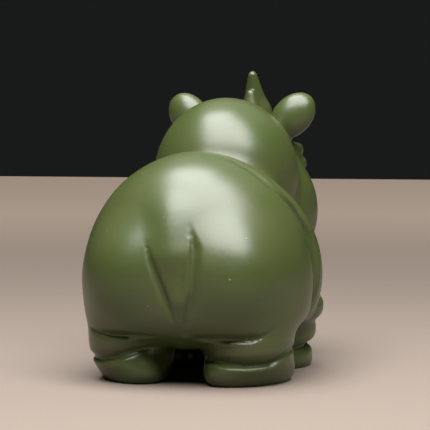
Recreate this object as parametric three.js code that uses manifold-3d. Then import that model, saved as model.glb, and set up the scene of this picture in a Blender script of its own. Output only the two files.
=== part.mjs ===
// Rhinoceros figurine, moulded in one piece and standing on four feet.
// Millimetres, +Z up. It faces -Y, so its own right side is -X.
// The body is built as one smooth field of rounded masses, which is then turned into facets.
import * as THREE from "three";
import Module from "manifold-3d";

// Places are measured from the ground under the middle of the belly: [across, behind, up].
// Each mass has its middle, its half sizes and its turn about X, Y and Z in degrees.
// What comes in pairs is given for the left side.
const BELLY = { at: [0, 1.5, 25], size: [29.7, 26, 33] };
const BELLY_UNDERSIDE = 12;
const CROTCH = { at: [0, 12.5, 15.5], size: [9.5, 8.2, 7] };
const BUTTOCK = { at: [11, 12, 26.5], size: [15, 16.2, 17], turn: [-8, 0, 0] };
const COLLAR = { at: [0, -14, 27], size: [29.2, 17, 29], turn: [-14, 0, 0] };
const COLLAR_UNDERSIDE = 10;
const HUMP = { at: [0, -27.8, 51], size: [18.8, 19.7, 20.4] };
const FACE = { at: [0, -44, 41], size: [21.4, 20, 21] };
const POLL = { at: [0, -44, 57], size: [14, 10.5, 12] };
const MUZZLE = { at: [0, -57, 36], size: [15.5, 12, 12.5] };
const NOSE = { at: [0, -57.5, 48], size: [12.5, 10.5, 11.5] };
const EAR = { at: [14.8, -43.5, 67.2], size: [5.3, 3.7, 7.3], turn: [12, 42, 0] };
const EAR_HOLLOW = { at: [15.4, -47.6, 67.6], size: [3, 2.4, 5], turn: [0, 42, 0] };
const BROW = { at: [13.2, -50.8, 57], size: [3.2, 4.8, 2.2], turn: [0, -38, 0] };
const EYE = { at: [14.6, -51.4, 54], size: [2.4, 2.7, 2.2] };
const NOSTRIL = { at: [7, -67, 46], size: [1.3, 2.4, 2], turn: [0, 25, 0] };
const MOUTH = { height: 33.5, rise: 0.012, corner: -54, depth: 0.75 };

// Tapered lengths: both ends, with the radius at each.
const HORN = [
  { from: [0, -62.4, 56.5], to: [0, -61.4, 68], radii: [6.6, 4.2] },
  { from: [0, -61.4, 68], to: [0, -57.2, 78.6], radii: [4.2, 1.3] },
];
const SMALL_HORN = { from: [0, -56, 61], to: [0, -54.8, 73.3], radii: [5.6, 1.3] };
const TAIL = [
  { from: [0.8, 16.6, 39.5], to: [-0.6, 22, 31], radii: [6.4, 5.3] },
  { from: [-0.6, 22, 31], to: [-1.9, 24.3, 22.5], radii: [5.3, 3.1] },
  { from: [-1.9, 24.3, 22.5], to: [-2.6, 21.8, 14], radii: [3.1, 1] },
];

// Lines pressed in along the tail, which swings a little to the animal's right.
// Each stop is [height, across, depth], and reach is how wide the line is on either side.
const LEFT_LINE = {
  stops: [
    [14, -1.2, 0], [18.3, -0.1, 0.6], [22.5, 1.5, 1], [26.4, 3.2, 1],
    [30.7, 4.8, 0.9], [33.5, 5.7, 0.5], [37, 6.6, 0],
  ],
  reach: [2.6, 0.7],
};
const RIGHT_LINE = {
  stops: [
    [13.5, -3, 0], [16.4, -3.3, 0.6], [19.4, -4.2, 0.8], [24.6, -5.3, 0.8],
    [30, -5.6, 0.9], [34.5, -5.5, 0.8], [37.3, -5.1, 0.5], [41, -4.1, 0],
  ],
  reach: [3.6, 0.8],
};

// The fold of skin behind the neck: where it runs, its gap and the lip in front of the gap.
const FOLD = { low: 10, swing: 14, from: 33, to: 51, dip: 7, gap: 0.6, lip: 0.6 };

// A hind leg is a short column on a splayed foot, with two lines pressed in round it.
const LEG = { at: [15.5, 7.8, 14.5], size: [11, 13.3, 12], power: 3.5 };
const HIND_FOOT = { at: [15.1, 6.8, 3], size: [8.7, 14.2, 4.9], turn: [0, 0, 28], power: 2.4 };

// Each stop of these is [degrees from straight behind to the outer side, height, depth].
const LEFT_LEG_LINES = [
  {
    stops: [
      [-48, 12.6, 0], [-25, 12.6, 0.5], [-10, 12.4, 0.8], [10, 12.3, 0.9],
      [28, 12.9, 0.6], [40, 13.6, 0.3], [55, 14.4, 0],
    ],
    reach: [1.2, 2.6],
  },
  {
    stops: [
      [-60, 10, 0], [-33, 9, 0.4], [-13, 7.7, 0.8], [-1, 6.9, 1], [13, 6.3, 1],
      [32, 5.9, 0.8], [90, 6.2, 0.6], [140, 6.2, 0.5], [180, 6, 0],
    ],
    reach: [1.5, 3],
  },
];
const RIGHT_LEG_LINES = [
  {
    stops: [
      [-48, 12.2, 0], [-35, 12.2, 0.6], [-10, 12.1, 0.9], [14, 12.1, 0.9],
      [25, 12.6, 0.6], [33, 13.4, 0.4], [44, 15, 0.2], [56, 17, 0],
    ],
    reach: [1.2, 2.6],
  },
  {
    stops: [
      [-60, 6.3, 0], [-40, 6.2, 0.6], [-18, 6, 1], [9, 5.6, 1], [45, 5.9, 1],
      [59, 6.8, 0.9], [84, 8.2, 0.8], [110, 8.6, 0.5], [140, 8.2, 0],
    ],
    reach: [1.1, 2.8],
  },
];

// A front leg is a stack of soft rolls of skin over a foot.
const ELBOW = { at: [15.2, -25.5, 16.8], size: [11.9, 11.8, 4.6], turn: [-9, 4, 0], power: 2.6 };
const SHIN = { at: [14.2, -26.2, 10.3], size: [10.7, 11.2, 4.5], turn: [-7, 0, 0] };
const FORE_FOOT = { at: [13.8, -27, 2.6], size: [9.4, 12.2, 4.4], turn: [0, 0, 14] };
const ROLL_POWER = 3;

// How far the middle of the belly is behind the middle of the whole length.
const BELLY_BACK = 20.55;

// How finely the field is sampled, and how many facets the solid keeps.
const REACH = { low: [-33, -72, -5], high: [33, 32, 84] };
const CELL = 1;
const BLOCK = 4;
const FACETS = 9000;

const radians = THREE.MathUtils.degToRad;

function blend(a, b, width) {
  const h = Math.max(width - Math.abs(a - b), 0) / width;
  return Math.min(a, b) - h * h * width * 0.25;
}

function carve(a, b, width) {
  return -blend(-a, b, width);
}

function between(low, high, t) {
  const s = Math.min(Math.max((t - low) / (high - low), 0), 1);
  return s * s * (3 - 2 * s);
}

// The point seen from a mass, in the mass's own turned axes.
function local(p, { at, turn }) {
  let [x, y, z] = [p[0] - at[0], p[1] - at[1], p[2] - at[2]];
  if (!turn) return [x, y, z];
  const [c, s] = [turn.map((t) => Math.cos(radians(t))), turn.map((t) => Math.sin(radians(t)))];
  [x, y] = [c[2] * x + s[2] * y, c[2] * y - s[2] * x];
  [x, z] = [c[1] * x - s[1] * z, s[1] * x + c[1] * z];
  [y, z] = [c[0] * y + s[0] * z, c[0] * z - s[0] * y];
  return [x, y, z];
}

function ball(p, mass) {
  const [x, y, z] = local(p, mass);
  const [a, b, c] = mass.size;
  const near = Math.hypot(x / a, y / b, z / c);
  const slope = Math.hypot(x / a ** 2, y / b ** 2, z / c ** 2);
  return (near * (near - 1)) / Math.max(slope, 1e-6);
}

function taper(p, { from, to, radii }) {
  const [ax, ay, az] = [to[0] - from[0], to[1] - from[1], to[2] - from[2]];
  const [x, y, z] = [p[0] - from[0], p[1] - from[1], p[2] - from[2]];
  const t = Math.min(Math.max((x * ax + y * ay + z * az) / (ax * ax + ay * ay + az * az), 0), 1);
  return Math.hypot(x - t * ax, y - t * ay, z - t * az) - radii[0] - (radii[1] - radii[0]) * t;
}

function roll(p, mass) {
  const power = mass.power || ROLL_POWER;
  const [x, y, z] = local(p, mass);
  const out = Math.hypot(x / mass.size[0], y / mass.size[1]);
  const up = Math.abs(z / mass.size[2]);
  return ((out ** power + up ** power) ** (1 / power) - 1) * Math.min(...mass.size);
}

// How deep a pressed line is, from how far along it a place lies and where it lies across it.
function pressed(along, across, { stops, reach }) {
  if (along <= stops[0][0] || along >= stops[stops.length - 1][0]) return 0;
  const n = stops.findIndex((stop) => stop[0] > along);
  const [low, high] = [stops[n - 1], stops[n]];
  const t = (along - low[0]) / (high[0] - low[0]);
  const side = across - low[1] - (high[1] - low[1]) * t;
  const depth = low[2] + (high[2] - low[2]) * t;
  const width = reach[side > 0 ? 1 : 0] * Math.min(Math.max(depth, 0.3), 1);
  return depth * (1 - between(0, width, Math.abs(side)));
}

function hindquarters(p, pair) {
  let body = carve(ball(p, BELLY), p[2] - BELLY_UNDERSIDE, 7);
  body = blend(body, ball(p, CROTCH), 4);
  body = blend(body, ball(pair, BUTTOCK), 3.5);
  const tail = blend(blend(taper(p, TAIL[0]), taper(p, TAIL[1]), 1), taper(p, TAIL[2]), 1);
  body = blend(body, tail, 2 + 2 * between(27, 38, p[2]));
  return blend(body, blend(roll(pair, LEG), roll(pair, HIND_FOOT), 3), 2.5);
}

function head(pair, hump) {
  let skull = blend(ball(pair, FACE), ball(pair, POLL), 6);
  skull = blend(skull, ball(pair, MUZZLE), 6);
  skull = blend(skull, ball(pair, NOSE), 8);
  skull = blend(skull, hump, 3);
  skull = blend(skull, carve(ball(pair, EAR), ball(pair, EAR_HOLLOW), 1.2), 2);
  skull = blend(skull, blend(taper(pair, HORN[0]), taper(pair, HORN[1]), 2), 1.6);
  skull = blend(skull, taper(pair, SMALL_HORN), 1.6);
  skull = blend(skull, ball(pair, BROW), 2.6);
  skull = blend(skull, ball(pair, EYE), 0.8);
  skull = carve(skull, ball(pair, NOSTRIL), 0.8);
  const level = pair[2] - MOUTH.height - MOUTH.rise * pair[0] ** 2;
  const line = Math.hypot(skull + 0.2, level) - MOUTH.depth;
  return carve(skull, carve(line, MOUTH.corner - pair[1], 1.5), 0.7);
}

function forequarters(pair) {
  let body = carve(ball(pair, COLLAR), pair[2] - COLLAR_UNDERSIDE, 9);
  const hump = ball(pair, HUMP);
  body = blend(body, hump, 3);
  body = blend(body, head(pair, hump), 2.4);
  const leg = blend(blend(roll(pair, ELBOW), roll(pair, SHIN), 1), roll(pair, FORE_FOOT), 0.8);
  return blend(body, leg, 1.2);
}

// What the neck fold adds to the field: more in its gap, less along its lip.
function fold(pair) {
  const [across, behind, up] = pair;
  const line = FOLD.low - FOLD.swing * between(FOLD.from, FOLD.to, up)
    + FOLD.dip * (1 - between(0, 12, across));
  const ahead = -behind - line;
  const belly = Math.abs(ball(pair, BELLY));
  if (Math.abs(ahead) > 14 || belly > 5) return 0;
  const there = between(3, 12, across) * between(16, 26, up)
    * (1 - between(8, 14, Math.abs(ahead))) * (1 - between(2, 5, belly));
  const gap = 1 - between(0, 1, ahead > 0 ? ahead / 2 : -ahead / 2.6);
  const lip = between(0, 1.8, ahead) * (1 - between(1.8, 8, ahead)) * (1 - between(44, 54, up));
  return there * (FOLD.gap * gap - FOLD.lip * lip);
}

// What the lines round the hind legs add to the field.
function legLines([x, y, z], half) {
  const turn = THREE.MathUtils.radToDeg(Math.atan2(half - LEG.at[0], y - LEG.at[1]));
  const [upper, lower] = x > 0 ? LEFT_LEG_LINES : RIGHT_LEG_LINES;
  const there = between(3, 8, half) * between(-8, -4, y);
  return there * (pressed(turn, z, upper) + pressed(turn, z, lower));
}

// Below zero inside the figurine, above zero outside it.
function field(p) {
  const pair = [Math.abs(p[0]), p[1], p[2]];
  let body = blend(hindquarters(p, pair), forequarters(pair), 1.8);
  if (Math.abs(body) > 6) return body;
  body += fold(pair);
  const near = 1 - between(2, 4, Math.abs(body));
  if (near <= 0 || p[1] < -8) return body;
  const tailLines = pressed(p[2], p[0], LEFT_LINE) + pressed(p[2], p[0], RIGHT_LINE);
  return body + near * (between(16, 20, p[1]) * tailLines + legLines(p, pair[0]));
}

// Solid corners that meet only across a cell's side would pinch the skin, so they are joined.
function joinPinches(value, count, place) {
  const sides = [[1, 0, 0, 0, 1, 0], [0, 1, 0, 0, 0, 1], [1, 0, 0, 0, 0, 1]];
  let joined = 0;
  for (let i = 0; i < count[0] - 1; i++) {
    for (let j = 0; j < count[1] - 1; j++) {
      for (let k = 0; k < count[2] - 1; k++) {
        for (const [a, b, c, d, e, f] of sides) {
          const ring = [
            place(i, j, k),
            place(i + a, j + b, k + c),
            place(i + a + d, j + b + e, k + c + f),
            place(i + d, j + e, k + f),
          ];
          const solid = ring.map((n) => value[n] < 0);
          if (solid[0] !== solid[2] || solid[1] !== solid[3] || solid[0] === solid[1]) continue;
          value[solid[0] ? ring[1] : ring[0]] = -1e-3;
          joined += 1;
        }
      }
    }
  }
  return joined;
}

// One point in each cell that the surface crosses, four neighbouring cells to each facet.
function surface() {
  const count = REACH.low.map((low, i) => Math.ceil((REACH.high[i] - low) / CELL) + 1);
  const place = (i, j, k) => (i * count[1] + j) * count[2] + k;
  const value = new Float64Array(count[0] * count[1] * count[2]);
  const at = (...cell) => cell.map((n, a) => REACH.low[a] + n * CELL);
  for (let i = 0; i < count[0]; i += BLOCK) {
    for (let j = 0; j < count[1]; j += BLOCK) {
      for (let k = 0; k < count[2]; k += BLOCK) {
        const middle = field(at(i + BLOCK / 2, j + BLOCK / 2, k + BLOCK / 2));
        const far = Math.abs(middle) > BLOCK * CELL * 2;
        for (let a = i; a < Math.min(i + BLOCK, count[0]); a++) {
          for (let b = j; b < Math.min(j + BLOCK, count[1]); b++) {
            for (let c = k; c < Math.min(k + BLOCK, count[2]); c++) {
              value[place(a, b, c)] = far ? middle : field(at(a, b, c));
            }
          }
        }
      }
    }
  }
  while (joinPinches(value, count, place));
  const points = [];
  const index = new Int32Array(value.length).fill(-1);
  const steps = [[1, 0, 0], [0, 1, 0], [0, 0, 1]];
  for (let i = 0; i < count[0] - 1; i++) {
    for (let j = 0; j < count[1] - 1; j++) {
      for (let k = 0; k < count[2] - 1; k++) {
        const sum = [0, 0, 0];
        let crossings = 0;
        for (let corner = 0; corner < 8; corner++) {
          const c = [corner & 1, (corner >> 1) & 1, corner >> 2];
          const here = value[place(i + c[0], j + c[1], k + c[2])];
          for (let axis = 0; axis < 3; axis++) {
            if (c[axis]) continue;
            const s = steps[axis];
            const there = value[place(i + c[0] + s[0], j + c[1] + s[1], k + c[2] + s[2])];
            if ((here < 0) === (there < 0)) continue;
            const t = here / (here - there);
            sum[0] += c[0] + s[0] * t;
            sum[1] += c[1] + s[1] * t;
            sum[2] += c[2] + s[2] * t;
            crossings += 1;
          }
        }
        if (!crossings) continue;
        index[place(i, j, k)] = points.length;
        points.push([i, j, k].map((n, a) => REACH.low[a] + (n + sum[a] / crossings) * CELL));
      }
    }
  }
  const facets = [];
  for (let i = 1; i < count[0] - 1; i++) {
    for (let j = 1; j < count[1] - 1; j++) {
      for (let k = 1; k < count[2] - 1; k++) {
        const here = value[place(i, j, k)] < 0;
        for (let axis = 0; axis < 3; axis++) {
          const s = steps[axis];
          const there = value[place(i + s[0], j + s[1], k + s[2])] < 0;
          if (here === there) continue;
          const u = steps[(axis + 1) % 3];
          const w = steps[(axis + 2) % 3];
          const near = (a, b) => index[place(
            i - a * u[0] - b * w[0],
            j - a * u[1] - b * w[1],
            k - a * u[2] - b * w[2],
          )];
          const ring = [near(1, 1), near(0, 1), near(0, 0), near(1, 0)];
          if (!here) ring.reverse();
          facets.push([ring[0], ring[1], ring[2]], [ring[0], ring[2], ring[3]]);
        }
      }
    }
  }
  return { points, facets };
}

// Pull a point onto the surface along the field's slope.
function settle(p) {
  const nudge = 0.02;
  let q = p;
  for (let round = 0; round < 3; round++) {
    const depth = field(q);
    const slope = [0, 1, 2].map((a) => {
      const more = [...q];
      const less = [...q];
      more[a] += nudge;
      less[a] -= nudge;
      return (field(more) - field(less)) / (2 * nudge);
    });
    const steep = Math.max(slope[0] ** 2 + slope[1] ** 2 + slope[2] ** 2, 0.05);
    const limit = Math.min(1, 0.5 / Math.max(Math.abs(depth) / Math.sqrt(steep), 1e-9));
    q = q.map((n, a) => n - (limit * depth * slope[a]) / steep);
  }
  return q;
}

// Error of a point against the planes gathered in a quadric of ten numbers.
function misfit(m, x, y, z) {
  return m[0] * x * x + 2 * m[1] * x * y + 2 * m[2] * x * z + 2 * m[3] * x
    + m[4] * y * y + 2 * m[5] * y * z + 2 * m[6] * y
    + m[7] * z * z + 2 * m[8] * z + m[9];
}

function bestPoint(m, a, b) {
  const middle = [0, 1, 2].map((i) => (a[i] + b[i]) / 2);
  const c0 = m[4] * m[7] - m[5] * m[5];
  const c1 = m[2] * m[5] - m[1] * m[7];
  const c2 = m[1] * m[5] - m[2] * m[4];
  const det = m[0] * c0 + m[1] * c1 + m[2] * c2;
  let best = middle;
  if (Math.abs(det) > 1e-7) {
    const x = -(c0 * m[3] + c1 * m[6] + c2 * m[8]) / det;
    const y = -(c1 * m[3] + (m[0] * m[7] - m[2] * m[2]) * m[6] + (m[1] * m[2] - m[0] * m[5]) * m[8]) / det;
    const z = -(c2 * m[3] + (m[1] * m[2] - m[0] * m[5]) * m[6] + (m[0] * m[4] - m[1] * m[1]) * m[8]) / det;
    const far = Math.hypot(x - middle[0], y - middle[1], z - middle[2]);
    if (far < Math.hypot(a[0] - b[0], a[1] - b[1], a[2] - b[2])) best = [x, y, z];
  }
  return best;
}

function normal(a, b, c) {
  const [ux, uy, uz] = [b[0] - a[0], b[1] - a[1], b[2] - a[2]];
  const [wx, wy, wz] = [c[0] - a[0], c[1] - a[1], c[2] - a[2]];
  return [uy * wz - uz * wy, uz * wx - ux * wz, ux * wy - uy * wx];
}

// Merge short flat edges first, until the wanted number of facets is left.
function thin({ points, facets }, wanted) {
  const quadrics = points.map(() => new Float64Array(10));
  const around = points.map(() => new Set());
  facets.forEach((f, n) => {
    const [a, b, c] = f.map((i) => points[i]);
    const [nx, ny, nz] = normal(a, b, c);
    const area = Math.hypot(nx, ny, nz) || 1e-12;
    const [x, y, z] = [nx / area, ny / area, nz / area];
    const w = -(x * a[0] + y * a[1] + z * a[2]);
    const plane = [x * x, x * y, x * z, x * w, y * y, y * z, y * w, z * z, z * w, w * w];
    for (const i of f) {
      around[i].add(n);
      for (let q = 0; q < 10; q++) quadrics[i][q] += plane[q] * area * 0.5;
    }
  });
  const version = new Int32Array(points.length);
  const heap = [];
  const push = (item) => {
    let n = heap.push(item) - 1;
    while (n > 0) {
      const up = (n - 1) >> 1;
      if (heap[up].cost <= item.cost) break;
      heap[n] = heap[up];
      n = up;
    }
    heap[n] = item;
  };
  const pop = () => {
    const top = heap[0];
    const last = heap.pop();
    if (!heap.length) return top;
    let n = 0;
    for (;;) {
      let next = 2 * n + 1;
      if (next >= heap.length) break;
      if (next + 1 < heap.length && heap[next + 1].cost < heap[next].cost) next += 1;
      if (heap[next].cost >= last.cost) break;
      heap[n] = heap[next];
      n = next;
    }
    heap[n] = last;
    return top;
  };
  const offer = (a, b) => {
    const sum = quadrics[a].map((q, i) => q + quadrics[b][i]);
    const at = bestPoint(sum, points[a], points[b]);
    const length = Math.hypot(...[0, 1, 2].map((i) => points[a][i] - points[b][i]));
    const cost = Math.max(misfit(sum, ...at), 0) + 1e-5 * length * length;
    push({ a, b, at, cost, stamp: version[a] + version[b] });
  };
  const neighbours = (i) => {
    const near = new Set();
    for (const n of around[i]) for (const j of facets[n]) if (j !== i) near.add(j);
    return near;
  };
  points.forEach((_, a) => {
    for (const b of neighbours(a)) if (a < b) offer(a, b);
  });
  const flips = (i, other, at) => {
    for (const n of around[i]) {
      const f = facets[n];
      if (f.includes(other)) continue;
      const before = normal(...f.map((j) => points[j]));
      const after = normal(...f.map((j) => (j === i ? at : points[j])));
      const dot = before[0] * after[0] + before[1] * after[1] + before[2] * after[2];
      if (dot < 0.35 * Math.hypot(...before) * Math.hypot(...after)) return true;
      if (Math.hypot(...after) < 1e-3) return true;
    }
    return false;
  };
  let left = facets.length;
  while (left > wanted && heap.length) {
    const { a, b, at, stamp } = pop();
    if (!around[a].size || !around[b].size || stamp !== version[a] + version[b]) continue;
    const nearA = neighbours(a);
    const nearB = neighbours(b);
    if (!nearA.has(b)) continue;
    if ([...nearA].filter((i) => nearB.has(i)).length !== 2) continue;
    if (flips(a, b, at) || flips(b, a, at)) continue;
    points[a] = at;
    for (let q = 0; q < 10; q++) quadrics[a][q] += quadrics[b][q];
    for (const n of [...around[b]]) {
      const f = facets[n];
      if (f.includes(a)) {
        for (const i of f) around[i].delete(n);
        facets[n] = null;
        left -= 1;
      } else {
        facets[n] = f.map((i) => (i === b ? a : i));
        around[a].add(n);
      }
    }
    around[b].clear();
    version[a] += 1;
    for (const i of neighbours(a)) offer(a, i);
  }
  return { points, facets: facets.filter(Boolean) };
}

// Corners stay off the ground plane, so that the cut along it leaves no slivers.
function clearOfGround([x, y, z]) {
  const gap = 0.15;
  return [x, y, Math.abs(z) < gap ? gap * (z < 0 ? -1 : 1) : z];
}

function toManifold(Manifold, Mesh, { points, facets }) {
  const used = new Map();
  const vertices = [];
  const triangles = [];
  for (const f of facets) {
    for (const i of f) {
      if (!used.has(i)) {
        used.set(i, used.size);
        vertices.push(...points[i]);
      }
      triangles.push(used.get(i));
    }
  }
  return new Manifold(new Mesh({
    numProp: 3,
    vertProperties: new Float32Array(vertices),
    triVerts: new Uint32Array(triangles),
  }));
}

function toGeometry(solid) {
  const mesh = solid.getMesh();
  const geometry = new THREE.BufferGeometry();
  geometry.setAttribute("position", new THREE.BufferAttribute(new Float32Array(mesh.vertProperties), 3));
  geometry.setIndex(new THREE.BufferAttribute(new Uint32Array(mesh.triVerts), 1));
  geometry.computeVertexNormals();
  return geometry;
}

// A block below the ground, which cuts the four soles flat.
function groundBlock(Manifold, Mesh) {
  const box = new THREE.BoxGeometry(120, 160, 20).translate(0, 0, -10);
  const place = box.getAttribute("position");
  const corners = [];
  const keys = new Map();
  const triangles = [];
  for (const i of box.index.array) {
    const corner = [place.getX(i), place.getY(i), place.getZ(i)];
    const key = corner.join();
    if (!keys.has(key)) {
      keys.set(key, keys.size);
      corners.push(...corner);
    }
    triangles.push(keys.get(key));
  }
  return new Manifold(new Mesh({
    numProp: 3,
    vertProperties: new Float32Array(corners),
    triVerts: new Uint32Array(triangles),
  }));
}

const { Manifold, Mesh } = await (async () => {
  const library = await Module();
  library.setup();
  return library;
})();

const coarse = surface();
coarse.points = coarse.points.map(settle);
const thinned = thin(coarse, FACETS);
thinned.points = thinned.points.map(clearOfGround);
const body = toManifold(Manifold, Mesh, thinned);
const standing = body.subtract(groundBlock(Manifold, Mesh));

const figurine = new THREE.Mesh(
  toGeometry(standing).translate(0, BELLY_BACK, 0),
  new THREE.MeshStandardMaterial({ color: 0x56702f, roughness: 0.36, metalness: 0 }),
);
figurine.name = "rhinoceros_figurine";

const part = new THREE.Group();
part.name = "rhinoceros_figurine_part";
part.add(figurine);

export default part;
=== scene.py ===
import math
import bpy
import numpy as np
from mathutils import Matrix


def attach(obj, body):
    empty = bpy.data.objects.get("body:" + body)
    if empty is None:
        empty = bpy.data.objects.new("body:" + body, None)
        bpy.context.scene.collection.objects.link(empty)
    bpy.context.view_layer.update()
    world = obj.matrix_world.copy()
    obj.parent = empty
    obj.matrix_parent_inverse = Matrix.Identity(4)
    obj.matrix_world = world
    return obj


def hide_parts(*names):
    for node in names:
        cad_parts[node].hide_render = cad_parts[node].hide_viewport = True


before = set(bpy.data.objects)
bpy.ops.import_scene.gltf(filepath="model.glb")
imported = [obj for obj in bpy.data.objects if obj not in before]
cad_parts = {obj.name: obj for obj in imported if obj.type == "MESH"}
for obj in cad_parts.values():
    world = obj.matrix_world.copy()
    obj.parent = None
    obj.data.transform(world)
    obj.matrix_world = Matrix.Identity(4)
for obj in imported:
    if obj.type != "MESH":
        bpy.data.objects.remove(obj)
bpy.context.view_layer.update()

# Figurine: a squat rhinoceros, one hollow moulding in satin green vinyl, with rolls of
# skin round the legs, a fold of skin behind the neck and a short tail lying on the rump.
# Places are in millimetres from under the middle of the belly: x its left, y behind, z up.
MM = 0.001
BELLY_BACK = 20.55                     # from the middle of the whole length to that point
REACH_LOW = (-33.0, -72.0, -3.0)
REACH_HIGH = (33.0, 32.0, 82.0)
CELL = 0.66
SLAB = 16                              # how many layers of cells are worked out at a time
ROUND_SIDE = 3.0                       # how square the side of a leg roll is
HIND_LEG_AT = (15.5, 7.8)


def step_up(low, high, value):
    t = np.clip((value - low) / (high - low), 0.0, 1.0)
    return t * t * (3.0 - 2.0 * t)


def melt(a, b, reach):
    h = np.maximum(reach - np.abs(a - b), 0.0) / reach
    return np.minimum(a, b) - h * h * reach * 0.25


def carve(a, b, reach):
    return -melt(-a, b, reach)


def turned(p, centre, angles):
    x, y, z = p[0] - centre[0], p[1] - centre[1], p[2] - centre[2]
    ax, ay, az = (math.radians(a) for a in angles)
    x, y = math.cos(az) * x + math.sin(az) * y, math.cos(az) * y - math.sin(az) * x
    x, z = math.cos(ay) * x - math.sin(ay) * z, math.sin(ay) * x + math.cos(ay) * z
    y, z = math.cos(ax) * y + math.sin(ax) * z, math.cos(ax) * z - math.sin(ax) * y
    return x, y, z


def ball(p, centre, radii, angles=(0, 0, 0)):
    x, y, z = turned(p, centre, angles)
    a, b, c = radii
    near = np.sqrt((x / a) ** 2 + (y / b) ** 2 + (z / c) ** 2)
    slope = np.sqrt((x / a ** 2) ** 2 + (y / b ** 2) ** 2 + (z / c ** 2) ** 2)
    return near * (near - 1.0) / np.maximum(slope, 1e-6)


def taper(p, start, end, start_radius, end_radius):
    run = [end[i] - start[i] for i in range(3)]
    off = [p[i] - start[i] for i in range(3)]
    t = sum(off[i] * run[i] for i in range(3)) / sum(r * r for r in run)
    t = np.clip(t, 0.0, 1.0)
    away = np.sqrt(sum((off[i] - t * run[i]) ** 2 for i in range(3)))
    return away - start_radius - (end_radius - start_radius) * t


def roll(p, centre, radii, angles=(0, 0, 0), power=ROUND_SIDE):
    x, y, z = turned(p, centre, angles)
    out = np.sqrt((x / radii[0]) ** 2 + (y / radii[1]) ** 2)
    up = np.abs(z) / radii[2]
    return ((out ** power + up ** power) ** (1.0 / power) - 1.0) * min(radii)


def crease(along, across, stops, low_side, high_side):
    """How deep a pressed line is: stops are (along, across, depth), then its reach each way."""
    way = [s[0] for s in stops]
    side = across - np.interp(along, way, [s[1] for s in stops])
    depth = np.interp(along, way, [s[2] for s in stops])
    width = np.where(side > 0, high_side, low_side) * np.clip(depth, 0.3, 1.0)
    return depth * (1.0 - step_up(0.0, 1.0, np.abs(side) / width))


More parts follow.
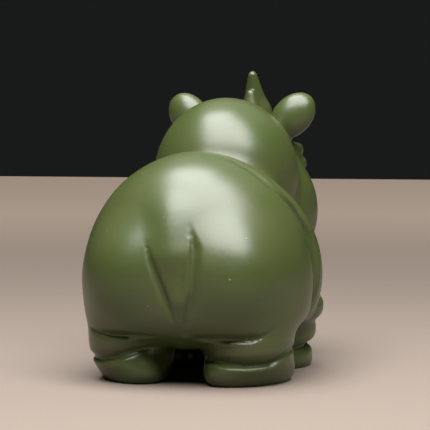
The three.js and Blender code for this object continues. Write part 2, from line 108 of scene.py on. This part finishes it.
def figurine(p):
    x, y, z = p
    half = np.abs(x)
    pair = (half, y, z)
    belly = ball(p, (0, 1.5, 25), (29.7, 26.0, 33.0))
    body = carve(belly, z - 12.0, 7.0)
    body = melt(body, ball(p, (0, 12.5, 15.5), (9.5, 8.2, 7.0)), 4.0)
    body = melt(body, ball(pair, (11.0, 12.0, 26.5), (15.0, 16.2, 17.0), (-8, 0, 0)), 3.5)
    # tail
    tail = taper(p, (0.8, 16.6, 39.5), (-0.6, 22.0, 31.0), 6.4, 5.3)
    tail = melt(tail, taper(p, (-0.6, 22.0, 31.0), (-1.9, 24.3, 22.5), 5.3, 3.1), 1.0)
    tail = melt(tail, taper(p, (-1.9, 24.3, 22.5), (-2.6, 21.8, 14.0), 3.1, 1.0), 1.0)
    body = melt(body, tail, 2.0 + 2.0 * step_up(27.0, 38.0, z))
    # hind legs
    leg = roll(pair, (*HIND_LEG_AT, 14.5), (11.0, 13.3, 12.0), power=3.5)
    foot = roll(pair, (15.1, 6.8, 3.0), (8.7, 14.2, 4.9), (0, 0, 28), 2.4)
    body = melt(body, melt(leg, foot, 3.0), 2.5)
    # shoulders and hump
    collar = ball(p, (0, -14.0, 27.0), (29.2, 17.0, 29.0), (-14, 0, 0))
    collar = carve(collar, z - 10.0, 9.0)
    hump = ball(p, (0, -27.8, 51.0), (18.8, 19.7, 20.4))
    fore = melt(collar, hump, 3.0)
    # head
    head = ball(p, (0, -44.0, 41.0), (21.4, 20.0, 21.0))
    head = melt(head, ball(p, (0, -44.0, 57.0), (14.0, 10.5, 12.0)), 6.0)
    head = melt(head, ball(p, (0, -57.0, 36.0), (15.5, 12.0, 12.5)), 6.0)
    head = melt(head, ball(p, (0, -57.5, 48.0), (12.5, 10.5, 11.5)), 8.0)
    head = melt(head, hump, 3.0)
    ear = ball(pair, (14.8, -43.5, 67.2), (5.3, 3.7, 7.3), (12, 42, 0))
    ear = carve(ear, ball(pair, (15.4, -47.6, 67.6), (3.0, 2.4, 5.0), (0, 42, 0)), 1.2)
    head = melt(head, ear, 2.0)
    horn = taper(p, (0, -62.4, 56.5), (0, -61.4, 68.0), 6.6, 4.2)
    horn = melt(horn, taper(p, (0, -61.4, 68.0), (0, -57.2, 78.6), 4.2, 1.3), 2.0)
    head = melt(head, horn, 1.6)
    head = melt(head, taper(p, (0, -56.0, 61.0), (0, -54.8, 73.3), 5.6, 1.3), 1.6)
    brow = ball(pair, (13.2, -50.8, 57.0), (3.2, 4.8, 2.2), (0, -38, 0))
    eye = ball(pair, (14.6, -51.4, 54.0), (2.4, 2.7, 2.2))
    head = melt(melt(head, brow, 2.6), eye, 0.8)
    head = carve(head, ball(pair, (7.0, -67.0, 46.0), (1.3, 2.4, 2.0), (0, 25, 0)), 0.8)
    mouth = np.sqrt((head + 0.2) ** 2 + (z - 33.5 - 0.012 * x * x) ** 2) - 0.75
    head = carve(head, carve(mouth, -54.0 - y, 1.5), 0.7)
    fore = melt(fore, head, 2.4)
    # front legs
    front = roll(pair, (15.2, -25.5, 16.8), (11.9, 11.8, 4.6), (-9, 4, 0), 2.6)
    front = melt(front, roll(pair, (14.2, -26.2, 10.3), (10.7, 11.2, 4.5), (-7, 0, 0)), 1.0)
    front = melt(front, roll(pair, (13.8, -27.0, 2.6), (9.4, 12.2, 4.4), (0, 0, 14)), 0.8)
    fore = melt(fore, front, 1.2)
    body = melt(body, fore, 1.8)
    # fold of skin behind the neck
    line = 10.0 - 14.0 * step_up(33.0, 51.0, z) + 7.0 * (1.0 - step_up(0.0, 12.0, half))
    ahead = -y - line
    there = step_up(3.0, 12.0, half) * step_up(16.0, 26.0, z) * step_up(-14.0, -8.0, -np.abs(ahead))
    gap = 1.0 - step_up(0.0, 1.0, np.where(ahead > 0, ahead / 2.0, -ahead / 2.6))
    lip = step_up(0.0, 1.8, ahead) * (1.0 - step_up(1.8, 8.0, ahead))
    lip = lip * (1.0 - step_up(44.0, 54.0, z))
    near_skin = 1.0 - step_up(2.0, 5.0, np.abs(belly))
    body = body + there * near_skin * (0.6 * gap - 0.6 * lip)
    # lines each side of the tail
    near_skin = 1.0 - step_up(2.0, 4.0, np.abs(body))
    left = crease(z, x, ((14, -1.2, 0), (18.3, -0.1, 0.6), (22.5, 1.5, 1.0), (26.4, 3.2, 1.0),
                         (30.7, 4.8, 0.9), (33.5, 5.7, 0.5), (37, 6.6, 0)), 2.6, 0.7)
    right = crease(z, x, ((13.5, -3.0, 0), (16.4, -3.3, 0.6), (19.4, -4.2, 0.8), (24.6, -5.3, 0.8),
                          (30, -5.6, 0.9), (34.5, -5.5, 0.8), (37.3, -5.1, 0.5), (41.0, -4.1, 0)), 3.6, 0.8)
    inner = crease(z, x, ((22, -2.9, 0), (25.1, -3.1, 0.2), (28.9, -3.5, 0.3), (31.6, -3.7, 0.2),
                          (33.5, -3.8, 0)), 0.9, 0.9)
    body = body + step_up(16.0, 20.0, y) * near_skin * (left + right + inner)
    # lines round the hind legs, by the angle from straight behind to the outer side
    round_leg = np.degrees(np.arctan2(half - HIND_LEG_AT[0], y - HIND_LEG_AT[1]))
    upper_left = crease(round_leg, z, (
        (-48, 12.6, 0), (-25, 12.6, 0.5), (-10, 12.4, 0.8), (10, 12.3, 0.9), (28, 12.9, 0.6),
        (40, 13.6, 0.3), (55, 14.4, 0)), 1.2, 2.6)
    upper_right = crease(round_leg, z, (
        (-48, 12.2, 0), (-35, 12.2, 0.6), (-10, 12.1, 0.9), (14, 12.1, 0.9), (25, 12.6, 0.6),
        (33, 13.4, 0.4), (44, 15.0, 0.2), (56, 17.0, 0)), 1.2, 2.6)
    lower_left = crease(round_leg, z, (
        (-60, 10.0, 0), (-33, 9.0, 0.4), (-13, 7.7, 0.8), (-1, 6.9, 1.0), (13, 6.3, 1.0), (32, 5.9, 0.8),
        (90, 6.2, 0.6), (140, 6.2, 0.5), (180, 6.0, 0)), 1.5, 3.0)
    lower_right = crease(round_leg, z, (
        (-60, 6.3, 0), (-40, 6.2, 0.6), (-18, 6.0, 1.0), (9, 5.6, 1.0), (45, 5.9, 1.0), (59, 6.8, 0.9),
        (84, 8.2, 0.8), (110, 8.6, 0.5), (140, 8.2, 0)), 1.1, 2.8)
    by_leg = np.where(x > 0, upper_left + lower_left, upper_right + lower_right)
    body = body + step_up(3.0, 8.0, half) * step_up(-8.0, -4.0, y) * near_skin * by_leg
    return np.maximum(body, -z)


def skin(shape, low, high, cell):
    """The surface of a shape as four-sided faces, one point to each cell that it passes."""
    count = [int(math.ceil((high[i] - low[i]) / cell)) + 1 for i in range(3)]
    axes = [(low[i] + cell * np.arange(count[i])).astype(np.float32) for i in range(3)]
    value = np.empty(count, np.float32)
    for start in range(0, count[0], SLAB):
        grid = np.meshgrid(axes[0][start:start + SLAB], axes[1], axes[2], indexing="ij")
        value[start:start + SLAB] = shape(grid)
    within = value < 0
    total = np.zeros([n - 1 for n in count], np.int8)
    corners = [(i, j, k) for i in (0, 1) for j in (0, 1) for k in (0, 1)]
    for i, j, k in corners:
        total += within[i:count[0] - 1 + i, j:count[1] - 1 + j, k:count[2] - 1 + k]
    cells = np.argwhere((total > 0) & (total < 8))
    index = np.full(total.shape, -1, np.int64)
    index[tuple(cells.T)] = np.arange(len(cells))
    points = np.zeros((len(cells), 3))
    crossings = np.zeros(len(cells))
    for corner in corners:
        for axis in range(3):
            if corner[axis]:
                continue
            other = list(corner)
            other[axis] = 1
            here = value[tuple((cells + corner).T)]
            there = value[tuple((cells + other).T)]
            crosses = (here < 0) != (there < 0)
            where = np.tile(np.array(corner, float), (len(cells), 1))
            where[:, axis] = np.where(crosses, here / np.where(crosses, here - there, 1), 0)
            points[crosses] += where[crosses]
            crossings += crosses
    points = np.array(low) + (cells + points / crossings[:, None]) * cell
    faces = []
    for axis in range(3):
        u, w = (axis + 1) % 3, (axis + 2) % 3
        first = [slice(1, count[i] - 1) for i in range(3)]
        second = list(first)
        first[axis] = slice(0, count[axis] - 1)
        second[axis] = slice(1, count[axis])
        edges = np.argwhere(within[tuple(first)] != within[tuple(second)])
        outward = within[tuple(first)][tuple(edges.T)]
        for i in (u, w):
            edges[:, i] += 1
        ring = []
        for du, dw in ((-1, -1), (0, -1), (0, 0), (-1, 0)):
            spot = edges.copy()
            spot[:, u] += du
            spot[:, w] += dw
            ring.append(index[tuple(spot.T)])
        ring = np.stack(ring, 1)
        ring[~outward] = ring[~outward][:, ::-1]
        faces.append(ring)
    return points, np.concatenate(faces)


def settled(shape, points, rounds=4, probe=0.02):
    """Moves each point onto the shape's surface, and gives the direction that it faces."""
    for _ in range(rounds):
        value = shape(points.T)
        slope = np.stack([(shape((points + offset).T) - shape((points - offset).T)) / (2 * probe)
                          for offset in np.eye(3) * probe], 1)
        size = np.maximum((slope ** 2).sum(1), 0.05)
        points = points - slope * np.clip(value / size, -0.4, 0.4)[:, None]
    return points, slope / np.sqrt((slope ** 2).sum(1))[:, None]


points, faces = skin(figurine, REACH_LOW, REACH_HIGH, CELL)
points, facing = settled(figurine, points)
points[:, 2] = np.where(points[:, 2] < 0.02, 0.0, points[:, 2])
points[:, 1] += BELLY_BACK
mesh = bpy.data.meshes.new("rhinoceros_skin")
mesh.from_pydata((points * MM).tolist(), [], faces.tolist())
mesh.update()
mesh.polygons.foreach_set("use_smooth", np.ones(len(mesh.polygons), bool))
rhinoceros = bpy.data.objects.new("rhinoceros_skin", mesh)
bpy.context.scene.collection.objects.link(rhinoceros)


class Wire:
    """A socket of a material, on which sums and products add their nodes."""

    def __init__(self, tree, socket=None):
        self.tree = tree
        self.socket = socket

    def node(self, kind, settings=None, values=None, out=0):
        made = self.tree.nodes.new(kind)
        for name, setting in (settings or {}).items():
            setattr(made, name, setting)
        for name, value in (values or {}).items():
            self.feed(made.inputs[name], value)
        return Wire(self.tree, made.outputs[out])

    def feed(self, socket, value):
        if isinstance(value, Wire):
            self.tree.links.new(value.socket, socket)
        else:
            socket.default_value = value

    def math(self, operation, first, second):
        return self.node("ShaderNodeMath", {"operation": operation}, {0: first, 1: second})

    def __add__(self, other):
        return self.math("ADD", self, other)

    def __sub__(self, other):
        return self.math("SUBTRACT", self, other)

    def __rsub__(self, other):
        return self.math("SUBTRACT", other, self)

    def __mul__(self, other):
        return self.math("MULTIPLY", self, other)

    __radd__ = __add__
    __rmul__ = __mul__

    def between(self, low, high):
        return self.node("ShaderNodeMapRange", {"interpolation_type": "SMOOTHSTEP"},
                         {"Value": self, "From Min": low, "From Max": high})

    def noise(self, size, detail):
        return self.node("ShaderNodeTexNoise", None,
                         {"Vector": self, "Scale": 1.0 / size, "Detail": detail})

    def mix(self, first, second):
        return self.node("ShaderNodeMix", {"data_type": "RGBA"}, {0: self, 6: first, 7: second}, 2)


# The vinyl is green all through, a little uneven, finely grained, with a few specks of dust.
GREEN = (0.040, 0.057, 0.014, 1.0)
OLIVE = (0.047, 0.058, 0.017, 1.0)
DUST = (0.25, 0.28, 0.20, 1.0)
SPECK_SPACING = 0.003
CLOUD_SIZE = 0.016
GRAIN_SIZE = 0.0011
GRAIN_DEPTH = 0.0002
SATIN = 0.30
vinyl = bpy.data.materials.new("satin_green_vinyl")
vinyl.use_nodes = True
shader = vinyl.node_tree.nodes["Principled BSDF"]
place = Wire(vinyl.node_tree).node("ShaderNodeTexCoord", out="Object")
spots = {"Vector": place, "Scale": 1.0 / SPECK_SPACING}
near_speck = 1.0 - place.node("ShaderNodeTexVoronoi", None, spots, "Distance").between(0.03, 0.06)
spot_colour = place.node("ShaderNodeTexVoronoi", None, spots, "Color")
chance = place.node("ShaderNodeSeparateColor", None, {"Color": spot_colour})
speck = near_speck * chance.between(0.74, 0.76)
cloud = place.noise(CLOUD_SIZE, 2.0).between(0.35, 0.65)
grain = place.noise(GRAIN_SIZE, 3.0)
place.feed(shader.inputs["Base Color"], speck.mix(cloud.mix(GREEN, OLIVE), DUST))
place.feed(shader.inputs["Roughness"], SATIN + cloud * 0.04 + grain * 0.05 + speck * 0.35)
place.feed(shader.inputs["Normal"], place.node(
    "ShaderNodeBump", None, {"Strength": 0.10, "Distance": GRAIN_DEPTH, "Height": grain + speck * 2.0}))
mesh.materials.append(vinyl)
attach(rhinoceros, "root")
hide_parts("rhinoceros_figurine")

# Floor: a plain pale sheet, a little warm, as the wood of a table is. It glows faintly far
# behind the figurine, so that it stays pale up to its far edge.
FLOOR_HALF = 3.0
FLOOR_END = -1.6
PAPER = (0.165, 0.130, 0.105, 1.0)
GLOW = (0.30, 0.235, 0.185, 1.0)
BLACK = (0.0, 0.0, 0.0, 1.0)
sheet = bpy.data.meshes.new("floor")
sheet.from_pydata([(-FLOOR_HALF, FLOOR_END, 0), (FLOOR_HALF, FLOOR_END, 0),
                   (FLOOR_HALF, FLOOR_HALF, 0), (-FLOOR_HALF, FLOOR_HALF, 0)], [], [(0, 1, 2, 3)])
floor = bpy.data.objects.new("floor", sheet)
bpy.context.scene.collection.objects.link(floor)
paper = bpy.data.materials.new("floor_paper")
paper.use_nodes = True
paper_shader = paper.node_tree.nodes["Principled BSDF"]
paper_shader.inputs["Base Color"].default_value = PAPER
paper_shader.inputs["Roughness"].default_value = 0.75
paper_shader.inputs["Emission Strength"].default_value = 1.0
spot = Wire(paper.node_tree).node("ShaderNodeTexCoord", out="Object")
away = spot.node("ShaderNodeVectorMath", {"operation": "LENGTH"}, {0: spot}, "Value")
spot.feed(paper_shader.inputs["Emission Color"], away.between(0.15, 0.9).mix(BLACK, GLOW))
sheet.materials.append(paper)

# Light: four soft panels side by side above the rump and the camera, whose reflections are
# the broad highlights, a faint wide panel over the rest of the floor, and a dim room.
DIM = (0.010, 0.0105, 0.0105, 1.0)
PANEL_HEIGHT = 0.60
PANEL_GLOW = 13.0
PANELS = (("over_the_rump", -0.06, 0.26, -0.14, 0.60), ("beside_it", -0.26, -0.06, -0.04, 0.57),
          ("over_its_right", -0.44, -0.26, 0.04, 0.54), ("far_right", -0.64, -0.44, 0.15, 0.50))
ROOM_PANEL_SIDE = 1.8
ROOM_PANEL_GLOW = 0.6
room = bpy.data.worlds.new("room")
bpy.context.scene.world = room
room.use_nodes = True
room.node_tree.nodes["Background"].inputs["Color"].default_value = DIM


def soft_panel(name, x, y, z, sides, glow):
    """A level panel that shines down with the same glow all over."""
    lamp = bpy.data.lights.new(name, "AREA")
    lamp.shape = "RECTANGLE"
    lamp.size, lamp.size_y = sides
    lamp.energy = glow * math.pi * sides[0] * sides[1]
    holder = bpy.data.objects.new(name, lamp)
    bpy.context.scene.collection.objects.link(holder)
    holder.location = (x, y, z)


for name, x0, x1, y0, y1 in PANELS:
    soft_panel(name, (x0 + x1) / 2, (y0 + y1) / 2, PANEL_HEIGHT, (x1 - x0, y1 - y0), PANEL_GLOW)
soft_panel("over_the_room", 0.0, -0.9, 1.4, (ROOM_PANEL_SIDE, ROOM_PANEL_SIDE), ROOM_PANEL_GLOW)

# Camera: a long lens, low behind the figurine and a little to its right.
DISTANCE = 0.487
SWING = math.radians(15.0)
HEIGHT = 0.066
FOCAL_PIXELS = 1900.0
PICTURE = 430.0
FILM = 36.0
ASIDE = -16.0 / FOCAL_PIXELS * DISTANCE
DIP = math.atan(95.0 / FOCAL_PIXELS)
lens = bpy.data.cameras.new("camera")
lens.sensor_width = FILM
lens.lens = FOCAL_PIXELS / PICTURE * FILM
lens.clip_start = 0.01
camera = bpy.data.objects.new("camera", lens)
bpy.context.scene.collection.objects.link(camera)
camera.location = (math.cos(SWING) * ASIDE - math.sin(SWING) * DISTANCE,
                   math.cos(SWING) * DISTANCE + math.sin(SWING) * ASIDE + BELLY_BACK * MM, HEIGHT)
camera.rotation_euler = (math.pi / 2 - DIP, 0.0, math.pi + SWING)
bpy.context.scene.camera = camera
bpy.context.scene.view_settings.view_transform = "Standard"
